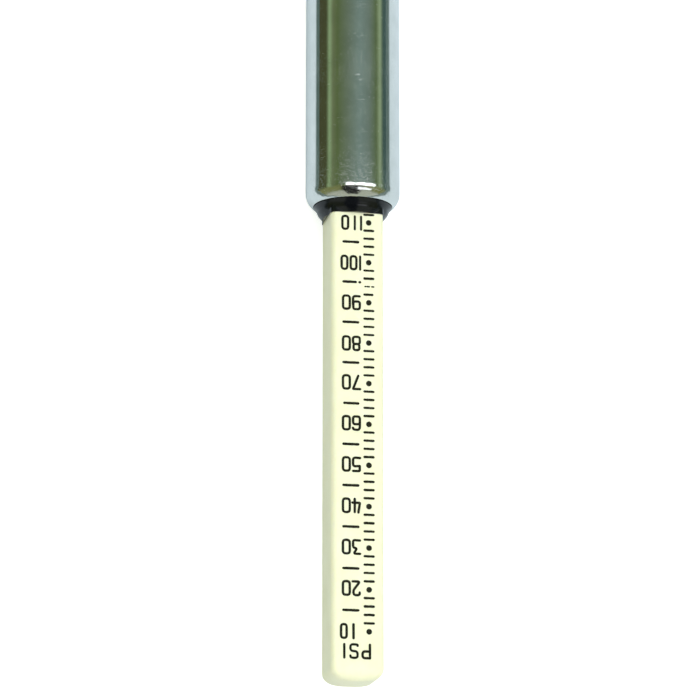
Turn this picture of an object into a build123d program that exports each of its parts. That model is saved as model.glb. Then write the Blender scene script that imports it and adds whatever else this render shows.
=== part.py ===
from build123d import *
import math
import os

# Pencil tyre pressure gauge, in millimetres.
# X is the barrel's axis and +X is the way the scale bar comes out. Z is up.
# The origin is on the axis, where the barrel's straight wall ends and its lip begins.

# ---- barrel ----
BARREL_R = 6.0
BARREL_T = 0.4
BORE_R = BARREL_R - BARREL_T
BARREL_LEN = 112.0
LIP_ROLL_R = 2.2
LIP_ROLL_DEG = 56.0
BEAD_FROM_BACK = 1.7
BEAD_HALF = 0.9
BEAD_DEPTH = 0.45

# ---- end bushing ----
BUSH_GAP = 0.03
BUSH_TAIL = 8.0
NOSE_LEN = 1.6
NOSE_CONE_LEN = 1.24
NOSE_CONE_R = 4.3
NOSE_END_R = 3.9
NOSE_SQUARE_WALL = 0.06
NOSE_SQUARE_R = 0.9

# ---- scale bar, printed face turned towards +Y ----
BAR_ROLL_DEG = 11.5
BAR_SIDE = 6.7
BAR_EDGE_R = 0.8
BAR_OUT = 59.45
BAR_TIP_SIDE_R = 1.4
BAR_TIP_FACE_R = 0.8
BAR_TIP_CROWN = 0.2
BAR_HOLE_GAP = 0.06
TAIL_DISC_R = 4.44
TAIL_DISC_T = 1.5

# ---- friction leaf in the bushing ----
LEAF_T = 0.25
LEAF_W = 3.6
LEAF_X0 = -6.4
LEAF_X1 = -1.2
LEAF_POCKET_R = 4.85
LEAF_POCKET_W = 4.0
LEAF_TOUCH_GAP = 0.02

# ---- spring and its washer, spring drawn squeezed to the reading shown ----
WASHER_T = 0.6
WASHER_R = 5.45
WASHER_HOLE_R = 4.6
SPRING_LEN = 29.7
SPRING_WIRE_R = 0.45
SPRING_MEAN_R = 4.98
SPRING_TURNS = 24.3

# ---- piston ----
PISTON_R = 5.5
PISTON_LEN = 3.5
PISTON_NOSE_R = 4.4
PISTON_NOSE_LEN = 3.0
CUP_R = 5.57
CUP_DEPTH = 3.5
CUP_FLOOR_T = 1.2
CUP_WALL_T = 0.8
SPREADER_R = 4.3
SPREADER_T = 0.5
SCREW_R = 1.25
SCREW_DEPTH = 4.5
SCREW_HEAD_R = 2.3
SCREW_HEAD_T = 1.2
SCREW_SLOT_W = 0.6
SCREW_SLOT_D = 0.6

# ---- head ----
SPIGOT_R = 5.55
SPIGOT_LEN = 6.4
BALL_R = 7.25
BALL_FROM_BARREL = 9.5
COLLAR_LEN = 1.5
NECK_R = 4.2
AIR_R = 1.5
MOUTH_DEG = 225.0
MOUTH_R = 6.4
MOUTH_REACH = 8.6
MOUTH_RIM_R = 0.6
MOUTH_BORE_R = 4.2
MOUTH_BORE_LEN = 3.5
CHAMBER_R = 3.0
CHAMBER_BACK = 2.5
NIB_PAD_R = 3.1
NIB_PAD_REACH = 8.0
PIN_R = 1.4

# ---- gasket, pin and O-ring ----
GASKET_R = 5.2
GASKET_T = 2.4
GASKET_HOLE_R = 1.8
PIN_TIP_R = 0.9
PIN_BELOW_GASKET = 0.2
NIB_COLLAR_R = 1.9
NIB_COLLAR_T = 0.8
NIB_LEN = 2.4
ORING_TUBE_R = 0.7
ORING_FROM_FACE = 2.0
ORING_GAP = 0.02

# ---- pocket clip ----
CLIP_T = 0.7
CLIP_W = 4.5
CLIP_BAND_GAP = 0.01
CLIP_BAND_X0 = -104.0
CLIP_BAND_X1 = -96.0
CLIP_SPLIT_W = 3.0
CLIP_ARM_R = 8.9
CLIP_RISE = 4.5
CLIP_KNEE_X = -64.0
CLIP_TOE_X = -57.5
CLIP_TOE_R = 6.75
CLIP_END_X = -54.0
CLIP_END_R = 8.1
CLIP_BEND_R = 2.0
CLIP_TIP_R = 1.6

# ---- worked out from the sizes above ----
barrel_back = -BARREL_LEN
bead_x = barrel_back + BEAD_FROM_BACK
roll = math.radians(LIP_ROLL_DEG)
roll_centre_r = BARREL_R - LIP_ROLL_R
roll_inner_r = LIP_ROLL_R - BARREL_T
lip_end_x = LIP_ROLL_R * math.sin(roll)
lip_end_r = roll_centre_r + LIP_ROLL_R * math.cos(roll)
nose_x = lip_end_x + NOSE_LEN
bar_tip_x = nose_x + BAR_OUT
washer_back = -BUSH_TAIL - WASHER_T
seat_x = washer_back - SPRING_LEN
bar_tail_x = seat_x + PISTON_NOSE_LEN
piston_back = seat_x - PISTON_LEN
ball_x = barrel_back - BALL_FROM_BARREL
spigot_face = barrel_back + SPIGOT_LEN
gasket_face = MOUTH_REACH - MOUTH_BORE_LEN
gasket_back = gasket_face - GASKET_T
mouth = math.radians(MOUTH_DEG)
mouth_dir = (math.cos(mouth), math.sin(mouth), 0)

# The clip's arm is turned about the barrel until its lower edge meets the bench.
# The bench touches the ball and the barrel's front end, so it climbs towards +X.
bench_climb = (BALL_R - BARREL_R) / -ball_x
bench_at_knee = BALL_R - (CLIP_KNEE_X - ball_x) * bench_climb
arm_outer_r = CLIP_ARM_R + CLIP_T / 2
arm_lean = math.atan2(CLIP_W / 2, arm_outer_r)
clip_roll = arm_lean + math.acos(bench_at_knee / math.hypot(arm_outer_r, CLIP_W / 2))

bar_roll = math.radians(BAR_ROLL_DEG)
face_across = (0, math.cos(bar_roll), -math.sin(bar_roll))
face_normal = (0, math.sin(bar_roll), math.cos(bar_roll))
clip_side = (0, math.cos(clip_roll), -math.sin(clip_roll))
MOUTH_PLANE = Plane(origin=(ball_x, 0, 0), x_dir=mouth_dir, z_dir=(0, 0, 1))
MOUTH_AXIS = Axis((ball_x, 0, 0), mouth_dir)
CLIP_PLANE = Plane(origin=(0, 0, 0), x_dir=(1, 0, 0), z_dir=clip_side)


def bar_section(x):
    """Plane across the bar at x, local Y out of the printed face."""
    return Plane(origin=(x, 0, 0), x_dir=face_across, z_dir=(1, 0, 0))


os.makedirs("parts", exist_ok=True)

# Barrel: drawn tube with a crimped bead at the back and a rolled lip at the front.
with BuildPart() as barrel:
    with BuildSketch(Plane.XY) as barrel_wall:
        with BuildLine() as barrel_outline:
            Polyline((barrel_back, BORE_R), (barrel_back, BARREL_R), (bead_x - BEAD_HALF, BARREL_R))
            ThreePointArc(
                (bead_x - BEAD_HALF, BARREL_R),
                (bead_x, BARREL_R - BEAD_DEPTH),
                (bead_x + BEAD_HALF, BARREL_R),
            )
            Line((bead_x + BEAD_HALF, BARREL_R), (0, BARREL_R))
            CenterArc((0, roll_centre_r), LIP_ROLL_R, 90 - LIP_ROLL_DEG, LIP_ROLL_DEG)
            Line(
                (lip_end_x, lip_end_r),
                (roll_inner_r * math.sin(roll), roll_centre_r + roll_inner_r * math.cos(roll)),
            )
            CenterArc((0, roll_centre_r), roll_inner_r, 90 - LIP_ROLL_DEG, LIP_ROLL_DEG)
            Line((0, BORE_R), (bead_x + BEAD_HALF, BORE_R))
            ThreePointArc(
                (bead_x + BEAD_HALF, BORE_R),
                (bead_x, BORE_R - BEAD_DEPTH),
                (bead_x - BEAD_HALF, BORE_R),
            )
            Line((bead_x - BEAD_HALF, BORE_R), (barrel_back, BORE_R))
        make_face()
    revolve(axis=Axis.X)
barrel.part.label = "barrel"
export_step(barrel.part, "parts/barrel.step")

# End bushing: held by the rolled lip, whose edge beds in a step round the nose.
# The nose goes from round at the lip to square round the bar.
bush_roll_r = roll_inner_r - BUSH_GAP
step_inner = (bush_roll_r * math.sin(roll), roll_centre_r + bush_roll_r * math.cos(roll))
step_x = lip_end_x + BUSH_GAP * math.cos(roll)
step_r = lip_end_r - BUSH_GAP * math.sin(roll)
nose_arc_x = lip_end_x + NOSE_CONE_LEN
hole_half = BAR_SIDE / 2 + BAR_HOLE_GAP
with BuildPart() as end_bushing:
    with BuildSketch(Plane.XY) as bushing_wall:
        with BuildLine() as bushing_outline:
            Polyline((-BUSH_TAIL, 0), (-BUSH_TAIL, BORE_R - BUSH_GAP), (0, BORE_R - BUSH_GAP))
            CenterArc((0, roll_centre_r), bush_roll_r, 90 - LIP_ROLL_DEG, LIP_ROLL_DEG)
            Polyline(
                step_inner,
                (step_inner[0] + BUSH_GAP * math.cos(roll), step_inner[1] - BUSH_GAP * math.sin(roll)),
                (step_x, step_r),
                (nose_arc_x, NOSE_CONE_R),
            )
            TangentArc(
                (nose_arc_x, NOSE_CONE_R),
                (nose_x, NOSE_END_R),
                tangent=(NOSE_CONE_LEN, NOSE_CONE_R - lip_end_r),
            )
            Polyline((nose_x, NOSE_END_R), (nose_x, 0), (-BUSH_TAIL, 0))
        make_face()
    revolve(axis=Axis.X)
    with BuildSketch(bar_section(step_x)) as square_collar:
        RectangleRounded(2 * (hole_half + NOSE_SQUARE_WALL), 2 * (hole_half + NOSE_SQUARE_WALL), NOSE_SQUARE_R)
    extrude(amount=nose_x - step_x)
    with BuildSketch(bar_section(-BUSH_TAIL)) as bar_hole:
        RectangleRounded(2 * hole_half, 2 * hole_half, BAR_EDGE_R + BAR_HOLE_GAP)
    extrude(amount=BUSH_TAIL + nose_x, mode=Mode.SUBTRACT)
    with BuildSketch(bar_section(LEAF_X0)) as leaf_pocket:
        Rectangle(LEAF_POCKET_W, LEAF_POCKET_R, align=(Align.CENTER, Align.MAX))
    extrude(amount=LEAF_X1 - LEAF_X0, mode=Mode.SUBTRACT)
end_bushing.part.label = "end_bushing"
export_step(end_bushing.part, "parts/end_bushing.step")

# Friction spring: a bowed leaf that presses on the bar's under face.
leaf_mid_x = (LEAF_X0 + LEAF_X1) / 2
leaf_crest = -BAR_SIDE / 2 - LEAF_TOUCH_GAP
leaf_foot = -LEAF_POCKET_R + LEAF_T
LEAF_PLANE = Plane(origin=(0, 0, 0), x_dir=(1, 0, 0), z_dir=tuple(-c for c in face_across))
with BuildPart() as friction_spring:
    with BuildSketch(LEAF_PLANE) as leaf_side:
        with BuildLine() as leaf_outline:
            ThreePointArc((LEAF_X0, leaf_foot), (leaf_mid_x, leaf_crest), (LEAF_X1, leaf_foot))
            Line((LEAF_X1, leaf_foot), (LEAF_X1, leaf_foot - LEAF_T))
            ThreePointArc(
                (LEAF_X1, leaf_foot - LEAF_T),
                (leaf_mid_x, leaf_crest - LEAF_T),
                (LEAF_X0, leaf_foot - LEAF_T),
            )
            Line((LEAF_X0, leaf_foot - LEAF_T), (LEAF_X0, leaf_foot))
        make_face()
    extrude(amount=LEAF_W / 2, both=True)
friction_spring.part.label = "friction_spring"
export_step(friction_spring.part, "parts/friction_spring.step")

# Scale bar: square nylon bar with rounded edges, domed tip and a round tail disc.
half = BAR_SIDE / 2
SIDE_PLANE = Plane(origin=(0, 0, 0), x_dir=(1, 0, 0), z_dir=face_normal)
with BuildPart() as indicator_bar:
    with BuildSketch(bar_section(bar_tail_x)) as bar_square:
        RectangleRounded(BAR_SIDE, BAR_SIDE, BAR_EDGE_R)
    extrude(amount=bar_tip_x - bar_tail_x)
    tip_planes = ((SIDE_PLANE, BAR_TIP_SIDE_R), (LEAF_PLANE, BAR_TIP_FACE_R))
    for tip_plane, tip_r in tip_planes:
        with BuildSketch(tip_plane) as tip_outline:
            with BuildLine() as tip_line:
                Polyline(
                    (bar_tip_x - BAR_TIP_CROWN, half),
                    (bar_tail_x, half),
                    (bar_tail_x, -half),
                    (bar_tip_x - BAR_TIP_CROWN, -half),
                )
                ThreePointArc(
                    (bar_tip_x - BAR_TIP_CROWN, -half),
                    (bar_tip_x, 0),
                    (bar_tip_x - BAR_TIP_CROWN, half),
                )
            make_face()
            fillet(tip_outline.vertices().group_by(Axis.X)[-1], radius=tip_r)
        extrude(amount=BAR_SIDE, both=True, mode=Mode.INTERSECT)
    with BuildSketch(Plane.YZ.offset(bar_tail_x)) as tail_disc:
        Circle(TAIL_DISC_R)
    extrude(amount=TAIL_DISC_T)
indicator_bar.part.label = "indicator_bar"
export_step(indicator_bar.part, "parts/indicator_bar.step")

# Spring washer between the bushing and the main spring.
with BuildPart() as spring_washer:
    with BuildSketch(Plane.YZ.offset(washer_back)) as washer_ring:
        Circle(WASHER_R)
        Circle(WASHER_HOLE_R, mode=Mode.SUBTRACT)
    extrude(amount=WASHER_T)
spring_washer.part.label = "spring_washer"
export_step(spring_washer.part, "parts/spring_washer.step")

# Main spring: round wire, ends ground flat.
spring_pitch = (SPRING_LEN - 2 * SPRING_WIRE_R) / SPRING_TURNS
with BuildPart() as main_spring:
    with BuildLine() as coil_path:
        Helix(
            pitch=spring_pitch,
            height=SPRING_LEN - SPRING_WIRE_R,
            radius=SPRING_MEAN_R,
            center=(seat_x + SPRING_WIRE_R / 2, 0, 0),
            direction=(1, 0, 0),
        )
    with BuildSketch(Plane(origin=coil_path.line @ 0, z_dir=coil_path.line % 0)) as wire:
        Circle(SPRING_WIRE_R)
    sweep(is_frenet=True)
    with BuildSketch(Plane.YZ.offset(seat_x)) as ground_ends:
        Circle(BORE_R)
    extrude(amount=SPRING_LEN, mode=Mode.INTERSECT)
main_spring.part.label = "main_spring"
export_step(main_spring.part, "parts/main_spring.step")

# Piston body: pushes the bar's tail with its nose and takes the spring on its shoulder.
with BuildPart() as piston_body:
    with BuildSketch(Plane.YZ.offset(piston_back)) as piston_disc:
        Circle(PISTON_R)
    extrude(amount=PISTON_LEN)
    with BuildSketch(Plane.YZ.offset(seat_x)) as piston_nose:
        Circle(PISTON_NOSE_R)
    extrude(amount=PISTON_NOSE_LEN)
    with BuildSketch(Plane.YZ.offset(piston_back)) as screw_hole:
        Circle(SCREW_R)
    extrude(amount=SCREW_DEPTH, mode=Mode.SUBTRACT)
piston_body.part.label = "piston_body"
export_step(piston_body.part, "parts/piston_body.step")

# Piston cup: soft cup, open towards the air.
cup_open_x = piston_back - CUP_DEPTH
cup_floor_x = piston_back - CUP_FLOOR_T
with BuildPart() as piston_cup:
    with BuildSketch(Plane.YZ.offset(cup_open_x)) as cup_disc:
        Circle(CUP_R)
    extrude(amount=CUP_DEPTH)
    with BuildSketch(Plane.YZ.offset(cup_open_x)) as cup_hollow:
        Circle(CUP_R - CUP_WALL_T)
    extrude(amount=CUP_DEPTH - CUP_FLOOR_T, mode=Mode.SUBTRACT)
    with BuildSketch(Plane.YZ.offset(cup_floor_x)) as cup_hole:
        Circle(SCREW_R)
    extrude(amount=CUP_FLOOR_T, mode=Mode.SUBTRACT)
piston_cup.part.label = "piston_cup"
export_step(piston_cup.part, "parts/piston_cup.step")

# Cup spreader: washer that holds the cup's floor against the piston.
spreader_x = cup_floor_x - SPREADER_T
with BuildPart() as cup_spreader:
    with BuildSketch(Plane.YZ.offset(spreader_x)) as spreader_ring:
        Circle(SPREADER_R)
        Circle(SCREW_R, mode=Mode.SUBTRACT)
    extrude(amount=SPREADER_T)
cup_spreader.part.label = "cup_spreader"
export_step(cup_spreader.part, "parts/cup_spreader.step")

# Piston screw: slotted screw through the spreader and cup into the piston.
screw_head_x = spreader_x - SCREW_HEAD_T
with BuildPart() as piston_screw:
    with BuildSketch(Plane.YZ.offset(screw_head_x)) as screw_head:
        Circle(SCREW_HEAD_R)
    extrude(amount=SCREW_HEAD_T)
    with BuildSketch(Plane.YZ.offset(spreader_x)) as screw_shank:
        Circle(SCREW_R)
    extrude(amount=piston_back + SCREW_DEPTH - spreader_x)
    with BuildSketch(Plane.YZ.offset(screw_head_x)) as screw_slot:
        Rectangle(2 * SCREW_HEAD_R, SCREW_SLOT_W)
    extrude(amount=SCREW_SLOT_D, mode=Mode.SUBTRACT)
piston_screw.part.label = "piston_screw"
export_step(piston_screw.part, "parts/piston_screw.step")

# Head: ball chuck with an angled mouth and a spigot that the barrel is crimped onto.
collar_x = barrel_back - COLLAR_LEN
neck_x = ball_x + math.sqrt(BALL_R**2 - NECK_R**2)
oring_x = spigot_face - ORING_FROM_FACE
oring_floor_r = BORE_R - ORING_GAP - 2 * ORING_TUBE_R
oring_half = ORING_TUBE_R + ORING_GAP
bead_groove_half = BEAD_HALF + ORING_GAP
with BuildPart() as head_body:
    with BuildSketch(Plane.XY) as head_profile:
        with BuildLine() as head_outline:
            Line((ball_x - BALL_R, 0), (spigot_face, 0))
            Polyline(
                (spigot_face, 0),
                (spigot_face, SPIGOT_R),
                (oring_x + oring_half, SPIGOT_R),
                (oring_x + oring_half, oring_floor_r),
                (oring_x - oring_half, oring_floor_r),
                (oring_x - oring_half, SPIGOT_R),
                (bead_x + bead_groove_half, SPIGOT_R),
            )
            ThreePointArc(
                (bead_x + bead_groove_half, SPIGOT_R),
                (bead_x, SPIGOT_R - BEAD_DEPTH),
                (bead_x - bead_groove_half, SPIGOT_R),
            )
            Polyline(
                (bead_x - bead_groove_half, SPIGOT_R),
                (barrel_back, SPIGOT_R),
                (barrel_back, BARREL_R),
                (collar_x, BARREL_R),
                (collar_x, NECK_R),
                (neck_x, NECK_R),
            )
            ThreePointArc(
                (neck_x, NECK_R),
                (ball_x, BALL_R),
                (ball_x - BALL_R, 0),
            )
        make_face()
    revolve(axis=Axis.X)
    with BuildSketch(MOUTH_PLANE) as mouth_boss:
        Rectangle(MOUTH_REACH, MOUTH_R, align=(Align.MIN, Align.MIN))
        fillet(mouth_boss.vertices().sort_by(Axis((0, 0, 0), (1, 1, 0)))[-1], radius=MOUTH_RIM_R)
    revolve(axis=MOUTH_AXIS)
    with BuildSketch(MOUTH_PLANE) as nib_pad:
        Rectangle(NIB_PAD_REACH, NIB_PAD_R, align=(Align.MAX, Align.MIN))
    revolve(axis=MOUTH_AXIS)
    with BuildSketch(MOUTH_PLANE) as mouth_hollow:
        with BuildLine() as hollow_outline:
            Polyline(
                (-CHAMBER_BACK, 0),
                (-CHAMBER_BACK, CHAMBER_R),
                (gasket_back, CHAMBER_R),
                (gasket_back, GASKET_R),
                (gasket_face, GASKET_R),
                (gasket_face, MOUTH_BORE_R),
                (MOUTH_REACH, MOUTH_BORE_R),
                (MOUTH_REACH, 0),
                (-CHAMBER_BACK, 0),
            )
        make_face()
    revolve(axis=MOUTH_AXIS, mode=Mode.SUBTRACT)
    with BuildSketch(MOUTH_PLANE) as pin_hole:
        Rectangle(NIB_PAD_REACH, PIN_R, align=(Align.MAX, Align.MIN))
    revolve(axis=MOUTH_AXIS, mode=Mode.SUBTRACT)
    with BuildSketch(Plane.YZ.offset(ball_x)) as air_passage:
        Circle(AIR_R)
    extrude(amount=spigot_face - ball_x, mode=Mode.SUBTRACT)
head_body.part.label = "head_body"
export_step(head_body.part, "parts/head_body.step")

# Chuck gasket: rubber ring snapped into the groove behind the mouth.
with BuildPart() as chuck_gasket:
    with BuildSketch(MOUTH_PLANE) as gasket_profile:
        with BuildLine() as gasket_outline:
            Polyline(
                (gasket_back, GASKET_HOLE_R),
                (gasket_face, GASKET_HOLE_R),
                (gasket_face, GASKET_R),
                (gasket_back, GASKET_R),
                close=True,
            )
        make_face()
    revolve(axis=MOUTH_AXIS)
chuck_gasket.part.label = "chuck_gasket"
export_step(chuck_gasket.part, "parts/chuck_gasket.step")

# Deflator pin: pressed through the ball, opens valves inside and bleeds tyres outside.
with BuildPart() as deflator_pin:
    with BuildSketch(MOUTH_PLANE) as pin_profile:
        with BuildLine() as pin_outline:
            Polyline(
                (-NIB_PAD_REACH - NIB_COLLAR_T - NIB_LEN, 0),
                (-NIB_PAD_REACH - NIB_COLLAR_T - NIB_LEN, PIN_TIP_R),
                (-NIB_PAD_REACH - NIB_COLLAR_T, PIN_TIP_R),
                (-NIB_PAD_REACH - NIB_COLLAR_T, NIB_COLLAR_R),
                (-NIB_PAD_REACH, NIB_COLLAR_R),
                (-NIB_PAD_REACH, PIN_R),
                (-CHAMBER_BACK, PIN_R),
                (-CHAMBER_BACK, PIN_TIP_R),
                (gasket_face - PIN_BELOW_GASKET, PIN_TIP_R),
                (gasket_face - PIN_BELOW_GASKET, 0),
                close=True,
            )
        make_face()
    revolve(axis=MOUTH_AXIS)
deflator_pin.part.label = "deflator_pin"
export_step(deflator_pin.part, "parts/deflator_pin.step")

# O-ring: seals the spigot in the barrel.
with BuildPart() as head_oring:
    with BuildSketch(Plane.XY) as oring_profile:
        with BuildLine() as oring_outline:
            CenterArc((oring_x, oring_floor_r + ORING_TUBE_R), ORING_TUBE_R, 0, 360)
        make_face()
    revolve(axis=Axis.X)
head_oring.part.label = "head_oring"
export_step(head_oring.part, "parts/head_oring.step")

# Pocket clip: split band round the barrel with a springy arm beside it.
band_inner_r = BARREL_R + CLIP_BAND_GAP
band_mid_r = band_inner_r + CLIP_T / 2
with BuildPart() as pocket_clip:
    with BuildSketch(CLIP_PLANE) as arm_side:
        with BuildLine() as arm_line:
            FilletPolyline(
                (CLIP_BAND_X0 + CLIP_T, band_mid_r),
                (CLIP_BAND_X1, band_mid_r),
                (CLIP_BAND_X1 + CLIP_RISE, CLIP_ARM_R),
                (CLIP_KNEE_X, CLIP_ARM_R),
                (CLIP_TOE_X, CLIP_TOE_R),
                (CLIP_END_X, CLIP_END_R),
                radius=CLIP_BEND_R,
            )
        trace(line_width=CLIP_T)
    extrude(amount=CLIP_W / 2, both=True)
    tip_face = pocket_clip.faces().sort_by(Axis.X)[-1]
    fillet(tip_face.edges().group_by(SortBy.LENGTH)[0], radius=CLIP_TIP_R)
    with BuildSketch(Plane.YZ.offset(CLIP_BAND_X0)) as band_ring:
        Circle(band_inner_r + CLIP_T)
    extrude(amount=CLIP_BAND_X1 - CLIP_BAND_X0)
    with BuildSketch(Plane.YZ.offset(CLIP_BAND_X0)) as band_hole:
        Circle(band_inner_r)
    extrude(amount=CLIP_BAND_X1 - CLIP_BAND_X0, mode=Mode.SUBTRACT)
    with BuildSketch(CLIP_PLANE.offset(-CLIP_SPLIT_W / 2)) as band_split:
        with BuildLine() as split_outline:
            Polyline(
                (CLIP_BAND_X0, 0),
                (CLIP_BAND_X1, 0),
                (CLIP_BAND_X1, -2 * BARREL_R),
                (CLIP_BAND_X0, -2 * BARREL_R),
                close=True,
            )
        make_face()
    extrude(amount=CLIP_SPLIT_W, mode=Mode.SUBTRACT)
pocket_clip.part.label = "pocket_clip"
export_step(pocket_clip.part, "parts/pocket_clip.step")
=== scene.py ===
import math
import bmesh
import bpy
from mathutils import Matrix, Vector


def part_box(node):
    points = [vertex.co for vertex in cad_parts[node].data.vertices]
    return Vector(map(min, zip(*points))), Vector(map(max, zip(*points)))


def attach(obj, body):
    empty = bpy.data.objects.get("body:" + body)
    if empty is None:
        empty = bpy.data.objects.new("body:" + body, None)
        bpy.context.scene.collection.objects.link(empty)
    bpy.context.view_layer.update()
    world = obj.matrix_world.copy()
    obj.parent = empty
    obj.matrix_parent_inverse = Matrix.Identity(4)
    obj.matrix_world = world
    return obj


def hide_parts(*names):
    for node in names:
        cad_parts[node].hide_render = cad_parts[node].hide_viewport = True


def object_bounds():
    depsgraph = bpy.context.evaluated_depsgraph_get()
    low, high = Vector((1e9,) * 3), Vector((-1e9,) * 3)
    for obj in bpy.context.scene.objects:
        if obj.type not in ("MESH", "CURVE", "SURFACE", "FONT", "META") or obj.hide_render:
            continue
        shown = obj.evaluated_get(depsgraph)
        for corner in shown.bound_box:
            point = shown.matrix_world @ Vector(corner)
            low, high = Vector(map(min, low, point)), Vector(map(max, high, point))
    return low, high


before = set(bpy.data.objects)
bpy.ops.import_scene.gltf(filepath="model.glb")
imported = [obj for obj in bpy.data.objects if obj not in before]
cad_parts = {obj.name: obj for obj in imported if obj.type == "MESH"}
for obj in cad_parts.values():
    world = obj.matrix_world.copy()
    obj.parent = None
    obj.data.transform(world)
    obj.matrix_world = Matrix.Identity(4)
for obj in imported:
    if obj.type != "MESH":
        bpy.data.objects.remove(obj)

CAD_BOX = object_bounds()
MM = 0.001

# ------------------------------------------------------------------ sizes
# X runs along the gauge, x = 0 is where the lip's roll starts, and the bar comes out towards +X.
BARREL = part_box("barrel")
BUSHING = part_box("end_bushing")
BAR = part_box("indicator_bar")
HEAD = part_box("head_body")

R = (BARREL[1][2] - BARREL[0][2]) / 2          # outside radius of the barrel
WALL = 0.4 * MM
BACK_X, LIP_X = BARREL[0][0], BARREL[1][0]
TAIL_X, TIP_X = BAR[0][0], BAR[1][0]
NOSE_X, BUSH_X = BUSHING[1][0], BUSHING[0][0]
LIP_ROLL = 2.2 * MM                            # outside radius of the rolled-in lip
LIP_DEG = 56.0                                 # how far round the lip is rolled
LIP_A = math.radians(LIP_DEG)
ROLL_R = R - LIP_ROLL                          # where the roll's centre is, at x = 0
BEAD_X = BACK_X + 1.7 * MM                     # crimp bead that holds the head
BEAD_HALF, BEAD_DEEP = 0.9 * MM, 0.45 * MM
BEAD_REST = BEAD_HALF + 0.3 * MM               # from the bead's middle to plain tube

BAR_ROLL = math.radians(11.5)
HALF = 3.35 * MM                               # half the bar's side
EDGE_R = 0.8 * MM
ACROSS = Vector((0, math.cos(BAR_ROLL), -math.sin(BAR_ROLL)))
OUT = Vector((0, math.sin(BAR_ROLL), math.cos(BAR_ROLL)))


# ------------------------------------------------------------------ mesh helpers
def mesh_object(name, verts, faces, smooth=True):
    me = bpy.data.meshes.new(name)
    me.from_pydata([tuple(v) for v in verts], [], faces)
    me.validate()
    me.update()
    if smooth:
        me.shade_smooth()
    else:
        me.shade_flat()
    ob = bpy.data.objects.new(name, me)
    bpy.context.scene.collection.objects.link(ob)
    return ob


def sharp_by_angle(ob, deg):
    """Marks edges sharper than deg, so that the rest shades smooth."""
    bm = bmesh.new()
    bm.from_mesh(ob.data)
    bmesh.ops.recalc_face_normals(bm, faces=bm.faces)
    for e in bm.edges:
        e.smooth = len(e.link_faces) == 2 and e.calc_face_angle(0) < math.radians(deg)
    bm.to_mesh(ob.data)
    bm.free()


def skin(columns, count):
    """Faces between neighbouring columns of count points each, closed both ways."""
    faces = []
    for j in range(columns):
        k = (j + 1) % columns
        for i in range(count):
            m = (i + 1) % count
            faces.append((j * count + i, j * count + m, k * count + m, k * count + i))
    return faces


def lathe(name, profile, segments, wobble):
    """Turns a closed profile of (x, r) about the X axis. wobble(x, angle) moves a point's radius."""
    verts = []
    for j in range(segments):
        a = 2 * math.pi * j / segments
        for x, r in profile:
            rr = r + wobble(x, a)
            verts.append((x, rr * math.sin(a), rr * math.cos(a)))
    return mesh_object(name, verts, skin(segments, len(profile)))


def arc(cx, cr, rad, a0, a1, n):
    """Points on an arc in the (x, r) plane, angle 0 along +r, growing towards +x."""
    pts = []
    for i in range(n + 1):
        a = math.radians(a0 + (a1 - a0) * i / n)
        pts.append((cx + rad * math.sin(a), cr + rad * math.cos(a)))
    return pts


def hash_noise(a, b=0.0):
    """The same scattered value, -1 to 1, each time for the same a and b."""
    v = math.sin(a * 12.9898 + b * 78.233) * 43758.5453
    return (v - math.floor(v)) * 2 - 1


def soft_noise(a, b):
    """Smooth value noise on a small grid, -1 to 1."""
    ia, ib = math.floor(a), math.floor(b)
    fa, fb = a - ia, b - ib
    fa, fb = fa * fa * (3 - 2 * fa), fb * fb * (3 - 2 * fb)
    n00, n10 = hash_noise(ia, ib), hash_noise(ia + 1, ib)
    n01, n11 = hash_noise(ia, ib + 1), hash_noise(ia + 1, ib + 1)
    return (n00 * (1 - fa) + n10 * fa) * (1 - fb) + (n01 * (1 - fa) + n11 * fa) * fb


# ------------------------------------------------------------------ node helpers
MIX_A, MIX_B, MIX_RESULT = 6, 7, 2             # the colour sockets of a Mix node


def math_node(tree, op, *values):
    """One Math node. Each value is a number or another node's output."""
    n = tree.nodes.new("ShaderNodeMath")
    n.operation = op
    for i, v in enumerate(values):
        if isinstance(v, (int, float)):
            n.inputs[i].default_value = v
        else:
            tree.links.new(v, n.inputs[i])
    return n.outputs[0]


def ramp_node(tree, value, stops):
    """A colour ramp with stops of (position, (r, g, b))."""
    n = tree.nodes.new("ShaderNodeValToRGB")
    el = n.color_ramp.elements
    while len(el) < len(stops):
        el.new(0.5)
    for e, (pos, col) in zip(el, stops):
        e.position = pos
        e.color = (*col, 1)
    tree.links.new(value, n.inputs["Fac"])
    return n.outputs["Color"]


def range_node(tree, value, from_min, from_max, to_min, to_max, smooth=False):
    n = tree.nodes.new("ShaderNodeMapRange")
    if smooth:
        n.interpolation_type = "SMOOTHSTEP"
    limits = {"From Min": from_min, "From Max": from_max, "To Min": to_min, "To Max": to_max}
    for key, v in limits.items():
        n.inputs[key].default_value = v
    tree.links.new(value, n.inputs["Value"])
    return n.outputs["Result"]


def split_xyz(tree, vector):
    n = tree.nodes.new("ShaderNodeSeparateXYZ")
    tree.links.new(vector, n.inputs[0])
    return n.outputs


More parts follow.
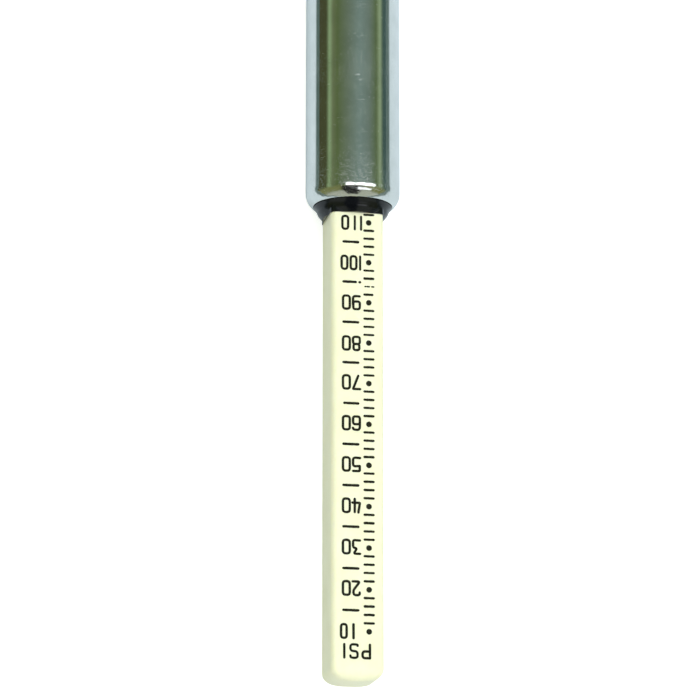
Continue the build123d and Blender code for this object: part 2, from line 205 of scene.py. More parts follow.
class Mat:
    """A node material with short calls for the usual steps."""

    def __init__(self, name):
        self.mat = bpy.data.materials.new(name)
        self.mat.use_nodes = True
        self.tree = self.mat.node_tree
        self.bsdf = self.tree.nodes["Principled BSDF"]
        self.coord = self.tree.nodes.new("ShaderNodeTexCoord").outputs["Object"]

    def link(self, a, b):
        self.tree.links.new(a, b)

    def set(self, **values):
        for key, value in values.items():
            self.bsdf.inputs[key.replace("_", " ")].default_value = value

    def math(self, op, *values):
        return math_node(self.tree, op, *values)

    def scaled(self, sx, sy, sz, source=None):
        n = self.tree.nodes.new("ShaderNodeMapping")
        n.inputs["Scale"].default_value = (sx, sy, sz)
        self.link(source or self.coord, n.inputs["Vector"])
        return n.outputs["Vector"]

    def round_coord(self):
        """(x, arc length, 0) round the X axis, for marks left by turning or polishing."""
        axes = split_xyz(self.tree, self.coord)
        ang = self.math("ARCTAN2", axes["Y"], axes["Z"])
        com = self.tree.nodes.new("ShaderNodeCombineXYZ")
        self.link(axes["X"], com.inputs["X"])
        self.link(self.math("MULTIPLY", ang, R), com.inputs["Y"])
        return com.outputs[0]

    def noise(self, vector, scale=1.0, detail=3.0, rough=0.5, distort=0.0):
        n = self.tree.nodes.new("ShaderNodeTexNoise")
        n.inputs["Scale"].default_value = scale
        n.inputs["Detail"].default_value = detail
        n.inputs["Roughness"].default_value = rough
        n.inputs["Distortion"].default_value = distort
        self.link(vector, n.inputs["Vector"])
        return n.outputs["Fac"]

    def ramp(self, value, stops):
        return ramp_node(self.tree, value, stops)

    def range(self, value, from_min, from_max, to_min, to_max):
        return range_node(self.tree, value, from_min, from_max, to_min, to_max)

    def bump(self, height, distance, strength):
        n = self.tree.nodes.new("ShaderNodeBump")
        n.inputs["Strength"].default_value = strength
        n.inputs["Distance"].default_value = distance
        self.link(height, n.inputs["Height"])
        self.link(n.outputs["Normal"], self.bsdf.inputs["Normal"])

    def to(self, socket, output):
        self.link(output, self.bsdf.inputs[socket])


# ------------------------------------------------------------------ materials
# Noise scales are in cycles per metre and bump depths in metres.
CHROME_DEPTH, CHROME_STRENGTH = 0.0035 * MM, 0.6
GRAIN = 3000.0


def chrome(name, low, high, rough_low, rough_high, turned=True, pitted=False):
    """Plated metal: fine polishing lines, a few deeper scratches, pits and handling haze."""
    m = Mat(name)
    m.set(Metallic=1.0)
    vec = m.round_coord() if turned else m.coord
    fine = m.noise(m.scaled(60000, 1400, 1400, vec), 1.0, 4.0, 0.6)
    haze = m.noise(m.scaled(420, 420, 420), 1.0, 3.0, 0.55)
    pits = m.noise(m.scaled(9000, 9000, 9000), 1.0, 1.0, 0.5)
    scar = m.noise(m.scaled(14000, 420, 420, vec), 1.0, 2.0, 0.5, 0.3)
    scar_line = m.range(scar, 0.66, 0.74, 0.0, 1.0)
    m.to("Base Color", m.ramp(haze, [(0.3, low), (0.7, high)]))
    rough = m.range(haze, 0.35, 0.7, rough_low, rough_high)
    m.to("Roughness", m.math("ADD", rough, m.math("MULTIPLY", scar_line, 0.22)))
    height = m.math("ADD", m.math("MULTIPLY", fine, 0.35), m.math("MULTIPLY", scar_line, -0.8))
    height = m.math("ADD", height, m.math("MULTIPLY", m.range(pits, 0.72, 0.8, 0, 1), -0.8))
    if pitted:
        height = m.math("ADD", height, m.math("MULTIPLY", handling_marks(m), -3.2))
    m.bump(height, CHROME_DEPTH, CHROME_STRENGTH)
    return m.mat


def handling_marks(m):
    """Small nicks and short scratches, thickest near the lip and in one worn patch further back."""
    along = split_xyz(m.tree, m.coord)["X"]
    near_lip = m.range(along, -7.5 * MM, -1.5 * MM, 0.0, 1.0)
    off_patch = m.math("ABSOLUTE", m.math("ADD", along, 15.0 * MM))
    patch = m.range(off_patch, 1.0 * MM, 3.5 * MM, 0.8, 0.0)
    where = m.math("MAXIMUM", m.math("MAXIMUM", near_lip, patch), 0.25)
    nick = m.noise(m.scaled(8500, 15000, 15000), 1.0, 2.0, 0.6)
    cut = m.math("SUBTRACT", 0.71, m.math("MULTIPLY", where, 0.10))
    deep = m.math("MULTIPLY", m.math("SUBTRACT", nick, cut), 9.0)
    return m.math("MINIMUM", m.math("MAXIMUM", deep, 0.0), 1.0)


def plain(name, low, high, rough_low, rough_high, metallic=0.0, depth=0.004 * MM, **more):
    """One material with mottled colour, mottled gloss and a fine grain."""
    m = Mat(name)
    m.set(Metallic=metallic, **more)
    mottle = m.noise(m.scaled(500, 500, 500), 1.0, 4.0, 0.6)
    fine = m.noise(m.scaled(GRAIN, GRAIN, GRAIN), 1.0, 3.0, 0.6)
    m.to("Base Color", m.ramp(mottle, [(0.3, low), (0.7, high)]))
    m.to("Roughness", m.range(fine, 0.3, 0.7, rough_low, rough_high))
    m.bump(fine, depth, 0.5)
    return m.mat


def nylon():
    """Cream moulded nylon: warm mottling, soft waxy light in the body, faint draw marks."""
    m = Mat("nylon_cream")
    m.set(Subsurface_Weight=0.25, Subsurface_Scale=1.2 * MM, Specular_IOR_Level=0.45)
    m.bsdf.inputs["Subsurface Radius"].default_value = (1.0, 0.85, 0.5)
    mottle = m.noise(m.scaled(180, 320, 320), 1.0, 4.0, 0.6)
    fleck = m.noise(m.scaled(2600, 2600, 2600), 1.0, 3.0, 0.6)
    mixed = m.math("ADD", m.math("MULTIPLY", mottle, 0.75), m.math("MULTIPLY", fleck, 0.25))
    m.to("Base Color", m.ramp(mixed, [(0.32, (0.82, 0.81, 0.575)), (0.68, (0.87, 0.865, 0.645))]))
    draw = m.noise(m.scaled(120, 5200, 5200), 1.0, 3.0, 0.6)
    m.to("Roughness", m.range(draw, 0.3, 0.7, 0.34, 0.46))
    height = m.math("ADD", m.math("MULTIPLY", draw, 0.7), m.math("MULTIPLY", fleck, 0.4))
    m.bump(height, 0.004 * MM, 0.6)
    return m.mat


def ink():
    """Black stamping ink, matt and a little uneven."""
    m = Mat("scale_ink")
    m.set(Specular_IOR_Level=0.25)
    body = m.noise(m.scaled(3500, 3500, 3500), 1.0, 4.0, 0.65)
    m.to("Base Color", m.ramp(body, [(0.3, (0.006, 0.006, 0.003)), (0.75, (0.022, 0.021, 0.010))]))
    m.to("Roughness", m.range(body, 0.3, 0.7, 0.6, 0.85))
    m.bump(body, 0.003 * MM, 0.4)
    return m.mat


CHROME = chrome("chrome_barrel", (0.70, 0.72, 0.70), (0.80, 0.81, 0.79), 0.035, 0.10, pitted=True)
CHROME_HEAD = chrome("chrome_head", (0.68, 0.69, 0.68), (0.78, 0.79, 0.78), 0.05, 0.14, turned=False)
CHROME_CLIP = chrome("chrome_clip", (0.70, 0.71, 0.71), (0.80, 0.81, 0.81), 0.05, 0.12, turned=False)
BLACK = plain("black_gloss_plastic", (0.0025, 0.003, 0.004), (0.005, 0.006, 0.008), 0.10, 0.20,
              Specular_IOR_Level=0.42)
NYLON = nylon()
INK = ink()
RUBBER = plain("rubber", (0.012, 0.012, 0.012), (0.03, 0.03, 0.03), 0.6, 0.8, depth=0.012 * MM)
BRASS = plain("brass", (0.62, 0.43, 0.16), (0.74, 0.55, 0.25), 0.22, 0.38, metallic=1.0)
STEEL = plain("zinc_steel", (0.45, 0.46, 0.47), (0.6, 0.61, 0.62), 0.25, 0.42, metallic=1.0)
WIRE = plain("spring_wire", (0.25, 0.25, 0.26), (0.42, 0.42, 0.43), 0.28, 0.45, metallic=1.0)


def paint(ob, mat):
    ob.data.materials.clear()
    ob.data.materials.append(mat)


def finish_piece(ob, body, slot, mat, *nodes):
    """Paints a visual piece, hangs it on the body it rides and hides the CAD nodes it stands for. slot is
    not used.
    """
    paint(ob, mat)
    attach(ob, body)
    if nodes:
        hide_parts(*nodes)


# ------------------------------------------------------------------ CAD nodes kept as they are
KEPT = {"head_body": CHROME_HEAD, "chuck_gasket": RUBBER, "deflator_pin": BRASS, "head_oring": RUBBER,
        "pocket_clip": CHROME_CLIP, "friction_spring": WIRE, "spring_washer": STEEL, "main_spring": WIRE,
        "piston_body": BRASS, "piston_cup": RUBBER, "cup_spreader": STEEL, "piston_screw": STEEL}
for node, mat in KEPT.items():
    for material_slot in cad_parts[node].material_slots:
        material_slot.link = "OBJECT"
        material_slot.material = mat


# ------------------------------------------------------------------ barrel
CHAMFER = 0.12 * MM
LIP_SET_IN = 0.11 * MM                         # the rolled edge ends this far inside the full roll
DENT = 0.022 * MM


def bead(radius, way):
    """The crimp bead's smooth dip in a wall at radius, drawn towards +X for way 1, -X for way -1."""
    shares = [i / 10 - 1 for i in range(21)]
    return [(BEAD_X + way * BEAD_HALF * t, radius - BEAD_DEEP * (0.5 + 0.5 * math.cos(math.pi * t)))
            for t in shares]


def lip_rim():
    """The rolled edge's round end, from the outside of the wall to the inside."""
    middle = LIP_ROLL - WALL / 2
    rim = []
    for i in range(9):
        b = math.pi * i / 8
        radial = (WALL / 2) * math.cos(b)
        along = (WALL / 2) * math.sin(b) * 0.55 - LIP_SET_IN
        rim.append((math.sin(LIP_A) * (middle + radial) + math.cos(LIP_A) * along,
                    ROLL_R + math.cos(LIP_A) * (middle + radial) - math.sin(LIP_A) * along))
    return rim


def barrel_profile():
    """The tube's closed outline: outside from the back to the lip, round the lip, inside and back."""
    tube_steps = 60
    tube_x = BEAD_X + BEAD_REST
    outer = [(BACK_X, R - CHAMFER), (BACK_X + CHAMFER, R), (BEAD_X - BEAD_REST, R)]
    outer += bead(R, 1) + [(tube_x, R)]
    outer += [(tube_x - tube_x * i / tube_steps, R) for i in range(1, tube_steps)]
    outer += arc(0, ROLL_R, LIP_ROLL, 0, LIP_DEG - 4, 26)
    inner = arc(0, ROLL_R, LIP_ROLL - WALL, LIP_DEG - 6, 0, 12)
    inner += [(tube_x, R - WALL)] + bead(R - WALL, -1) + [(BACK_X, R - WALL)]
    return outer + lip_rim() + inner


def barrel_wobble(x, a):
    """Drawn tube isn't perfect: the roll-over leaves faint dents in the lip."""
    lip = min(1.0, max(0.0, (x + 0.3 * MM) / (0.8 * MM)))
    n = soft_noise(a * 5.1, x * 1400)
    n += 0.6 * soft_noise(a * 13.7 + 9, x * 3100)
    n += 0.35 * soft_noise(a * 31 + 4, x * 5200)
    return -DENT * lip * (n * 0.5 + 0.5)


barrel = lathe("barrel_tube", barrel_profile(), 256, barrel_wobble)
sharp_by_angle(barrel, 50)
finish_piece(barrel, "housing", "chrome_barrel", CHROME, "barrel")


# ------------------------------------------------------------------ bushing
def rounded_square_radius(a, half, r):
    """Distance from the centre to a rounded square in direction a, measured from OUT towards ACROSS."""
    c, s = abs(math.cos(a)), abs(math.sin(a))
    big, small = max(c, s), min(c, s)
    flat = half / big
    if flat * small <= half - r:
        return flat
    k = half - r
    b = k * (c + s)
    return b + math.sqrt(max(0.0, b * b - 2 * k * k + r * r))


FIT_GAP = 0.03 * MM                            # between the bushing and the barrel
HOLE_HALF, HOLE_R = HALF + 0.06 * MM, EDGE_R + 0.06 * MM
COLLAR_HALF, COLLAR_R = HOLE_HALF + 0.055 * MM, 0.89 * MM
NOSE_EDGE = 0.07 * MM                          # rounding at the nose's end
MELD = 0.04 * MM                               # how softly the round part runs into the square one
NOSE_START = (LIP_X + 0.03 * MM, ROLL_R + LIP_ROLL * math.cos(LIP_A) - 0.035 * MM)
# The nose's turned outline from the lip to its end, (x, r) in mm.
NOSE_TURNED = [(NOSE_START[0] / MM, NOSE_START[1] / MM), (2.00, 4.87), (2.20, 4.71), (2.40, 4.59),
               (2.64, 4.51), (2.82, 4.42), (2.96, 4.31), (3.10, 4.19), (3.26, 4.04), (3.45, 3.86)]


def turned_radius(x):
    """Radius of the nose's round part at x."""
    mm = x / MM
    for (x0, r0), (x1, r1) in zip(NOSE_TURNED, NOSE_TURNED[1:]):
        if mm <= x1:
            return MM * (r0 + (r1 - r0) * (mm - x0) / (x1 - x0))
    return NOSE_TURNED[-1][1] * MM


def bushing_back():
    """The part inside the barrel: a plug with a chamfered end, then the inside of the rolled lip."""
    bore, chamfer = R - WALL - FIT_GAP, 0.3 * MM
    back = [(BUSH_X, bore - chamfer), (BUSH_X + chamfer, bore), (-0.4 * MM, bore)]
    back += arc(0, ROLL_R, LIP_ROLL - WALL - FIT_GAP, 0, LIP_DEG - 1, 12)
    back += [(back[-1][0] + 0.02 * MM, back[-1][1] - 0.01 * MM)]
    return back + [NOSE_START]


def nose_front(a):
    """The part in front of the lip in direction a: round, then a square collar round the bar."""
    steps = 44
    square = rounded_square_radius(a, COLLAR_HALF, COLLAR_R)
    front = []
    for i in range(1, steps + 1):
        x = NOSE_START[0] + (NOSE_X - NOSE_EDGE - NOSE_START[0]) * i / steps
        turned = turned_radius(x)
        front.append((x, 0.5 * (turned + square + math.hypot(turned - square, MELD))))
    x_end, r_end = front[-1]
    for k in range(1, 6):
        b = math.radians(18 * k)
        front.append((x_end + NOSE_EDGE * math.sin(b), r_end - NOSE_EDGE * (1 - math.cos(b))))
    return front


def bar_hole(a):
    """The square hole in direction a, from its rounded mouth back to the bushing's inner end."""
    rho = rounded_square_radius(a, HOLE_HALF, HOLE_R)
    mouth, knee = 0.04 * MM, 0.012 * MM
    hole = [(NOSE_X, rho + mouth), (NOSE_X - knee, rho + knee), (NOSE_X - mouth, rho)]
    return hole + [(NOSE_X - 0.6 * MM, rho), (0.0, rho), (BUSH_X, rho)]


def bushing_nose():
    segments = 360
    verts = []
    for j in range(segments):
        a = 2 * math.pi * j / segments
        column = bushing_back() + nose_front(a) + bar_hole(a)
        for x, r in column:
            p = (OUT * math.cos(a) + ACROSS * math.sin(a)) * r
            verts.append((x, p.y, p.z))
    return mesh_object("bushing_nose", verts, skin(segments, len(column)))


bushing = bushing_nose()
sharp_by_angle(bushing, 42)
finish_piece(bushing, "housing", "black_plastic", BLACK, "end_bushing")


# ------------------------------------------------------------------ scale bar
CROWN = 0.2 * MM                               # how far the tip's middle stands out
TIP_R_T, TIP_R_N = 1.4 * MM, 1.15 * MM         # tip roundings, across the printed face and through it
TAIL_DISC = 1.5 * MM                           # thickness of the round disc at the tail
DISC_R = 4.44 * MM
SINK = 0.012 * MM                              # moulding sink in the sides


def section(half_t, half_n, r=EDGE_R):
    """Rounded rectangle as (t, n) points, going round from where the +t side meets its rounding."""
    n_arc, n_flat = 8, 6
    signs = ((1, 1), (-1, 1), (-1, -1), (1, -1))
    centres = [(st * (half_t - r), sn * (half_n - r)) for st, sn in signs]
    pts = []
    for q, (ct, cn) in enumerate(centres):
        for i in range(n_arc + 1):
            a = math.radians(90 * q + 90 * i / n_arc)
            pts.append((ct + r * math.cos(a), cn + r * math.sin(a)))
        a = math.radians(90 * ((q + 1) % 4))
        ct, cn = centres[(q + 1) % 4]
        start, end = pts[-1], (ct + r * math.cos(a), cn + r * math.sin(a))
        for i in range(1, n_flat):
            t = i / n_flat
            pts.append((start[0] + (end[0] - start[0]) * t, start[1] + (end[1] - start[1]) * t))
    return pts


def disc_section(rad):
    """A circle with as many points as the bar's section, each in the same direction."""
    return [(rad * t / math.hypot(t, n), rad * n / math.hypot(t, n)) for t, n in section(HALF, HALF)]


def tail_rings():
    """Rings of (x, points, share of the tip's crown) for the disc."""
    end_x = TAIL_X + TAIL_DISC
    return [(TAIL_X, disc_section(4.3 * MM), 0),
            (TAIL_X + 0.15 * MM, disc_section(DISC_R), 0),
            (end_x - 0.1 * MM, disc_section(DISC_R), 0),
            (end_x, disc_section(DISC_R - 0.01 * MM), 0),
            (end_x + 0.01 * MM, section(HALF, HALF), 0)]


def body_rings():
    steps = 70
    start_x, end_x = TAIL_X + TAIL_DISC + 0.2 * MM, TIP_X - 1.6 * MM
    rings = []
    for i in range(steps + 1):
        x = start_x + (end_x - start_x) * i / steps
        sink = SINK * soft_noise(x * 130, 3.3)
        rings.append((x, section(HALF + sink * 0.5, HALF), 0))
    return rings


def tip_rings():
    steps = 14
    rings = []
    for i in range(1, steps + 1):
        a = math.radians(90 * i / steps)
        x = TIP_X - CROWN - TIP_R_T * (1 - math.sin(a))
        d_t = TIP_R_T * (1 - math.cos(a))
        past = max(0.0, x - (TIP_X - CROWN - TIP_R_N))
        d_n = TIP_R_N - math.sqrt(max(0.0, TIP_R_N * TIP_R_N - past * past))
        rings.append((x, section(HALF - d_t, HALF - d_n), i / steps))
    last = rings[-1][1]
    for k in (0.8, 0.55, 0.3, 0.1):
        rings.append((TIP_X - CROWN, [(t * k, n * k) for t, n in last], 1))
    return rings


def scale_bar():
    rings = tail_rings() + body_rings() + tip_rings()
    verts, faces = [], []
    for x, pts, crown in rings:
        for t, n in pts:
            p = ACROSS * t + OUT * n
            lift = crown * CROWN * (1 - min(1.0, (t / (HALF - TIP_R_T * 0.4)) ** 2))
            verts.append((x + lift, p.y, p.z))
    m = len(rings[0][1])
    for i in range(len(rings) - 1):
        for j in range(m):
            k = (j + 1) % m
            faces.append((i * m + j, i * m + k, (i + 1) * m + k, (i + 1) * m + j))
    faces.append(tuple(range(m)))
    faces.append(tuple((len(rings) - 1) * m + j for j in range(m)))
    return mesh_object("scale_bar", verts, faces)


bar = scale_bar()
sharp_by_angle(bar, 40)
finish_piece(bar, "bar", "nylon", NYLON, "indicator_bar")

# ------------------------------------------------------------------ printed scale
# Strokes are thin raised ink. u runs in reading direction (towards -ACROSS), v up the digits (+X).
INK_H = 0.010 * MM
PITCH = 5.22 * MM / 10                         # along the bar for one psi
ZERO_X = TIP_X - 6.0 * MM + 10 * PITCH         # where the scale's 0 would be
STROKE = 0.315 * MM
ink_verts, ink_faces = [], []


def on_face(x, t, h):
    """A point h above the printed face, t across it, following the rounded edge of the bar."""
    over = min(max(0.0, abs(t) - (HALF - EDGE_R)), EDGE_R * 0.9)
    p = ACROSS * t + OUT * (HALF - EDGE_R + math.sqrt(EDGE_R * EDGE_R - over * over) + h)
    return (x, p.y, p.z)


def ribbon_sides(path, width, closed, ragged):
    """The left and right edges of a stroke along path, a little uneven."""
    n = len(path)
    left, right = [], []
    for i, (x, t) in enumerate(path):
        x0, t0 = path[i - 1] if (i or closed) else path[i]
        x1, t1 = path[(i + 1) % n] if (i < n - 1 or closed) else path[i]
        ax, at = x1 - x0, t1 - t0
        length = math.hypot(ax, at) or 1e-9
        nx, nt = -at / length, ax / length
        seed = x * 71000 + t * 39000
        wl = width / 2 * (1 + ragged * hash_noise(seed, 1))
        wr = width / 2 * (1 + ragged * hash_noise(seed, 2))
        left.append((x + nx * wl, t + nt * wl))
        right.append((x - nx * wr, t - nt * wr))
    return left, right


def add_loop(left, right):
    """A closed stroke between two edges, as one thin raised ring of ink."""
    base, n = len(ink_verts), len(left)
    for h in (INK_H, -INK_H):
        for x, t in left + right:
            ink_verts.append(on_face(x, t, h))
    for i in range(n):
        j = (i + 1) % n
        l0, l1, r0, r1 = base + i, base + j, base + n + i, base + n + j
        ink_faces.append((l0, l1, r1, r0))
        ink_faces.append((l0 + 2 * n, r0 + 2 * n, r1 + 2 * n, l1 + 2 * n))
        ink_faces.append((l0, l0 + 2 * n, l1 + 2 * n, l1))
        ink_faces.append((r0, r1, r1 + 2 * n, r0 + 2 * n))


def add_ribbon(path, width, closed=False, ragged=0.05):
    """A stroke of ink along path, given as (x, t) in metres, with round ends unless it is closed."""
    left, right = ribbon_sides(path, width, closed, ragged)
    if closed:
        add_loop(left, right)
        return
    n = len(path)
    for i in range(n - 1):
        add_plate([left[i], left[i + 1], right[i + 1], right[i]], ends=(i == 0, i == n - 2))
    for (cx, ct), (px, pt), side in ((path[-1], path[-2], 1), (path[0], path[1], 0)):
        a0 = math.atan2(ct - pt, cx - px)
        cap = [(cx + width / 2 * math.cos(a0 + b), ct + width / 2 * math.sin(a0 + b))
               for b in (math.pi * 0.3, math.pi * 0.1, -math.pi * 0.1, -math.pi * 0.3)]
        pair = (left[-1], right[-1]) if side else (right[0], left[0])
        add_plate([pair[0]] + cap + [pair[1]])


def add_plate(outline, ends=(True, True)):
    """A thin raised patch of ink. ends=False leaves out a wall that the next patch would share."""
    base, n = len(ink_verts), len(outline)
    for h in (INK_H, -INK_H):
        for x, t in outline:
            ink_verts.append(on_face(x, t, h))
    ink_faces.append(tuple(range(base, base + n)))
    ink_faces.append(tuple(range(base + 2 * n - 1, base + n - 1, -1)))
    for i in range(n):
        j = (i + 1) % n
        if n == 4 and ((i == 3 and not ends[0]) or (i == 1 and not ends[1])):
            continue
        ink_faces.append((base + i, base + n + i, base + n + j, base + j))


def rounded(points, r, closed=False, n=5):
    """Points with their corners turned into short curves of about radius r."""
    out = []
    count = len(points)
    for i, p in enumerate(points):
        if not closed and i in (0, count - 1):
            out.append(p)
            continue
        a, b = points[i - 1], points[(i + 1) % count]
        la = math.hypot(a[0] - p[0], a[1] - p[1])
        lb = math.hypot(b[0] - p[0], b[1] - p[1])
        ka, kb = min(r, la * 0.49) / la, min(r, lb * 0.49) / lb
        s = (p[0] + (a[0] - p[0]) * ka, p[1] + (a[1] - p[1]) * ka)
        e = (p[0] + (b[0] - p[0]) * kb, p[1] + (b[1] - p[1]) * kb)
        for k in range(n + 1):
            t = k / n
            out.append(tuple((1 - t) ** 2 * s[c] + 2 * t * (1 - t) * p[c] + t * t * e[c] for c in (0, 1)))
    return out


# Each glyph is a list of (closed, corner radius in mm, points), with points (u, v) as shares of its
# width and height.
GLYPHS = {
    "0": [(True, 0.36, [(0, 0), (1, 0), (1, 1), (0, 1)])],
    "1": [(False, 0, [(0.5, 0), (0.5, 1)])],
    "2": [(False, 0.30, [(0.04, 0.80), (0.06, 1.0), (0.92, 1.0), (0.98, 0.66), (0.0, 0.0), (1.06, 0.0)])],
    "3": [(False, 0.26, [(-0.02, 1.0), (0.92, 1.0), (0.42, 0.60), (1.0, 0.56), (1.0, 0.0), (0.0, 0.02)])],
    "4": [(False, 0.10, [(0.22, 1.0), (0.0, 0.28), (1.10, 0.28)]),
          (False, 0, [(0.76, 0.98), (0.76, 0.0)])],
    "5": [(False, 0.16, [(1.0, 1.0), (0.02, 1.0), (0.02, 0.62)]),
          (False, 0.34, [(0.02, 0.62), (1.0, 0.66), (1.0, 0.0), (-0.02, 0.02)])],
    "6": [(False, 0.36, [(1.02, 0.86), (0.9, 1.0), (0.02, 1.0), (0.0, 0.30)]),
          (True, 0.30, [(0.0, 0.0), (1.0, 0.0), (1.0, 0.58), (0.0, 0.58)])],
    "7": [(False, 0.06, [(-0.04, 1.0), (1.0, 1.0), (0.24, 0.0)])],
    "8": [(True, 0.26, [(0.08, 0.54), (0.92, 0.54), (0.92, 1.0), (0.08, 1.0)]),
          (True, 0.28, [(0.0, 0.0), (1.0, 0.0), (1.0, 0.54), (0.0, 0.54)])],
    "9": [(True, 0.28, [(0.0, 0.42), (0.96, 0.42), (0.96, 1.0), (0.0, 1.0)]),
          (False, 0.34, [(1.0, 0.66), (1.0, 0.0), (0.02, 0.02)])],
    "P": [(False, 0, [(0.0, 0.0), (0.0, 1.0)]),
          (False, 0.34, [(0.0, 1.0), (1.0, 1.0), (1.0, 0.50), (0.02, 0.50)])],
    "S": [(False, 0.34, [(1.0, 0.84), (0.94, 1.0), (0.0, 1.0), (0.0, 0.52), (1.0, 0.48), (1.0, 0.0),
                         (0.02, 0.0), (0.0, 0.10)])],
    "I": [(False, 0, [(0.5, 0.0), (0.5, 1.0)])],
}


def add_glyph(char, t_mid, x_mid, wide, tall, stroke):
    for closed, corner, pts in GLYPHS[char]:
        path = [(x_mid + (v - 0.5) * tall, t_mid - (u - 0.5) * wide) for u, v in pts]
        if corner:
            path = rounded(path, corner * MM, closed)
        add_ribbon(path, stroke, closed)


def add_line(x, t0, t1, thick, gaps=()):
    """A straight mark across the bar, with gaps where the print missed, as (from, to) shares."""
    shortest = thick * 0.2
    spans, at = [], 0.0
    for g0, g1 in gaps:
        spans.append((at, g0))
        at = g1
    spans.append((at, 1.0))
    for s0, s1 in spans:
        if s1 - s0 < 0.02:
            continue
        a, b = t0 + (t1 - t0) * s0 + thick / 2, t0 + (t1 - t0) * s1 - thick / 2
        if b - a < shortest:
            b = a + shortest
        steps = max(2, int((b - a) / (0.18 * MM)))
        add_ribbon([(x, a + (b - a) * i / steps) for i in range(steps + 1)], thick, ragged=0.10)


def add_dot(x, t, rad):
    points = 28
    rim = []
    for k in range(points):
        a = 2 * math.pi * k / points
        rim.append((x + rad * (1 + 0.04 * hash_noise(k, x * 9000)) * math.cos(a),
                    t + rad * (1 + 0.04 * hash_noise(k, x * 7000)) * math.sin(a)))
    add_plate(rim)


# Places across the bar, and the shares of a mark that the print missed, by psi.
TICK_T = (0.66 * MM, 2.10 * MM)
TICK_THICK, TICK_THICK_FAINT = 0.31 * MM, 0.20 * MM
DASH_T = (-2.02 * MM, 0.18 * MM)
DASH_THICK = 0.33 * MM
DOT_T, DOT_R = 1.37 * MM, 0.36 * MM
FAINT_TICK = 94
WORN_TICKS = {94: [(0.0, 0.10), (0.20, 0.27), (0.62, 0.70)], 92: [(0.92, 1.0)]}
WORN_DASHES = {95: [(0.86, 0.93)], 65: [(0.0, 0.05), (0.09, 0.14)]}


def add_marks():
    """A dot each 10 psi, a dash half way between, and a tick each other 2 psi."""
    for psi in range(10, 113):
        x = ZERO_X - psi * PITCH
        if psi % 10 == 0:
            add_dot(x, DOT_T, DOT_R)
        elif psi % 2 == 0:
            thick = TICK_THICK_FAINT if psi == FAINT_TICK else TICK_THICK
            add_line(x, *TICK_T, thick * (1 + 0.08 * hash_noise(psi)), WORN_TICKS.get(psi, ()))
        elif psi % 10 == 5:
            add_line(x, *DASH_T, DASH_THICK, WORN_DASHES.get(psi, ()))


DIGIT_W, DIGIT_H = 0.86 * MM, 1.70 * MM
THIN_STROKE = 0.29 * MM                        # for the 1 in 100 and 110
# How far each number's row sits towards the tail from its mark, in mm, as stamped.
SET_BACK = {10: 0.0, 20: 0.13, 30: 0.08, 40: 0.05, 50: 0.06, 60: 0.08, 70: 0.08, 80: -0.13,
            90: -0.06, 100: -0.11, 110: -0.10}
# Each number's digits as (digit, middle across the bar in mm, width, stroke).
DIGITS = {psi: [("0", -1.49, DIGIT_W, STROKE), (str(psi // 10), -0.21, DIGIT_W, STROKE)]
          for psi in range(20, 100, 10)}
DIGITS[10] = [("0", -1.80, 0.70 * MM, STROKE), ("1", -0.59, DIGIT_W, 0.34 * MM)]
DIGITS[100] = [("0", -1.74, 0.72 * MM, STROKE), ("0", -0.58, 0.72 * MM, STROKE),
               ("1", 0.27, DIGIT_W, THIN_STROKE)]
DIGITS[110] = [("0", -1.64, 0.74 * MM, STROKE), ("1", -0.41, DIGIT_W, THIN_STROKE),
               ("1", 0.39, DIGIT_W, THIN_STROKE)]
# The unit's letters as (letter, middle across the bar, width, stroke), in mm.
UNIT = [("P", 1.00, 0.92, 0.32), ("S", -0.53, 0.90, 0.30), ("I", -1.74, 0.80, 0.31)]
UNIT_X, UNIT_H = ZERO_X - 10 * PITCH + 2.45 * MM, 1.66 * MM


def add_numbers():
    for psi, row in DIGITS.items():
        x = ZERO_X - psi * PITCH - SET_BACK[psi] * MM
        for char, t_mid, wide, stroke in row:
            add_glyph(char, t_mid * MM, x, wide, DIGIT_H, stroke)
    for char, t_mid, wide, stroke in UNIT:
        add_glyph(char, t_mid * MM, UNIT_X, wide * MM, UNIT_H, stroke * MM)


add_marks()
add_numbers()
scale_print = mesh_object("scale_print", ink_verts, ink_faces, smooth=False)
finish_piece(scale_print, "bar", "nylon", INK)

# ------------------------------------------------------------------ floor
FLOOR_HALF = 3.0
FLOOR_GLOW = 0.55                              # a little light of its own, seen by the camera only


def floor_material():
    """Pale floor. Its colour in mirror reflections is a painted reflection: bluer in a band under the
    gauge and dark beyond it.
    """
    m = Mat("pale_floor")
    m.set(Roughness=0.6, Emission_Color=(1.0, 1.0, 1.0, 1))
    mottle = m.noise(m.scaled(40, 40, 40), 1.0, 3.0)
    pale = m.ramp(mottle, [(0.3, (0.80, 0.805, 0.81)), (0.7, (0.84, 0.845, 0.85))])
    away = m.math("ABSOLUTE", split_xyz(m.tree, m.coord)["Y"])
    # Painted reflection: glossy rays see the floor bluer up to about 46 mm either side of the gauge and
    # dark beyond 66 mm; the camera sees it plain pale.
    strip = m.range(away, 46 * MM, 66 * MM, 0.0, 1.0)
    painted_reflection_colour = m.ramp(strip, [(0.0, (0.76, 0.85, 0.95)), (1.0, (0.10, 0.16, 0.16))])
    ray = m.tree.nodes.new("ShaderNodeLightPath").outputs
    mix = m.tree.nodes.new("ShaderNodeMix")
    mix.data_type = "RGBA"
    mix.blend_type = "MULTIPLY"
    m.link(ray["Is Glossy Ray"], mix.inputs["Factor"])
    m.link(pale, mix.inputs[MIX_A])
    m.link(painted_reflection_colour, mix.inputs[MIX_B])
    m.to("Base Color", mix.outputs[MIX_RESULT])
    m.to("Emission Strength", m.math("MULTIPLY", ray["Is Camera Ray"], FLOOR_GLOW))
    return m.mat


floor_z = min(CAD_BOX[0][2], HEAD[0][2])
corners = [(sx * FLOOR_HALF, sy * FLOOR_HALF, floor_z)
           for sx, sy in ((-1, -1), (1, -1), (1, 1), (-1, 1))]
floor = mesh_object("studio_floor", corners, [(0, 1, 2, 3)])
paint(floor, floor_material())


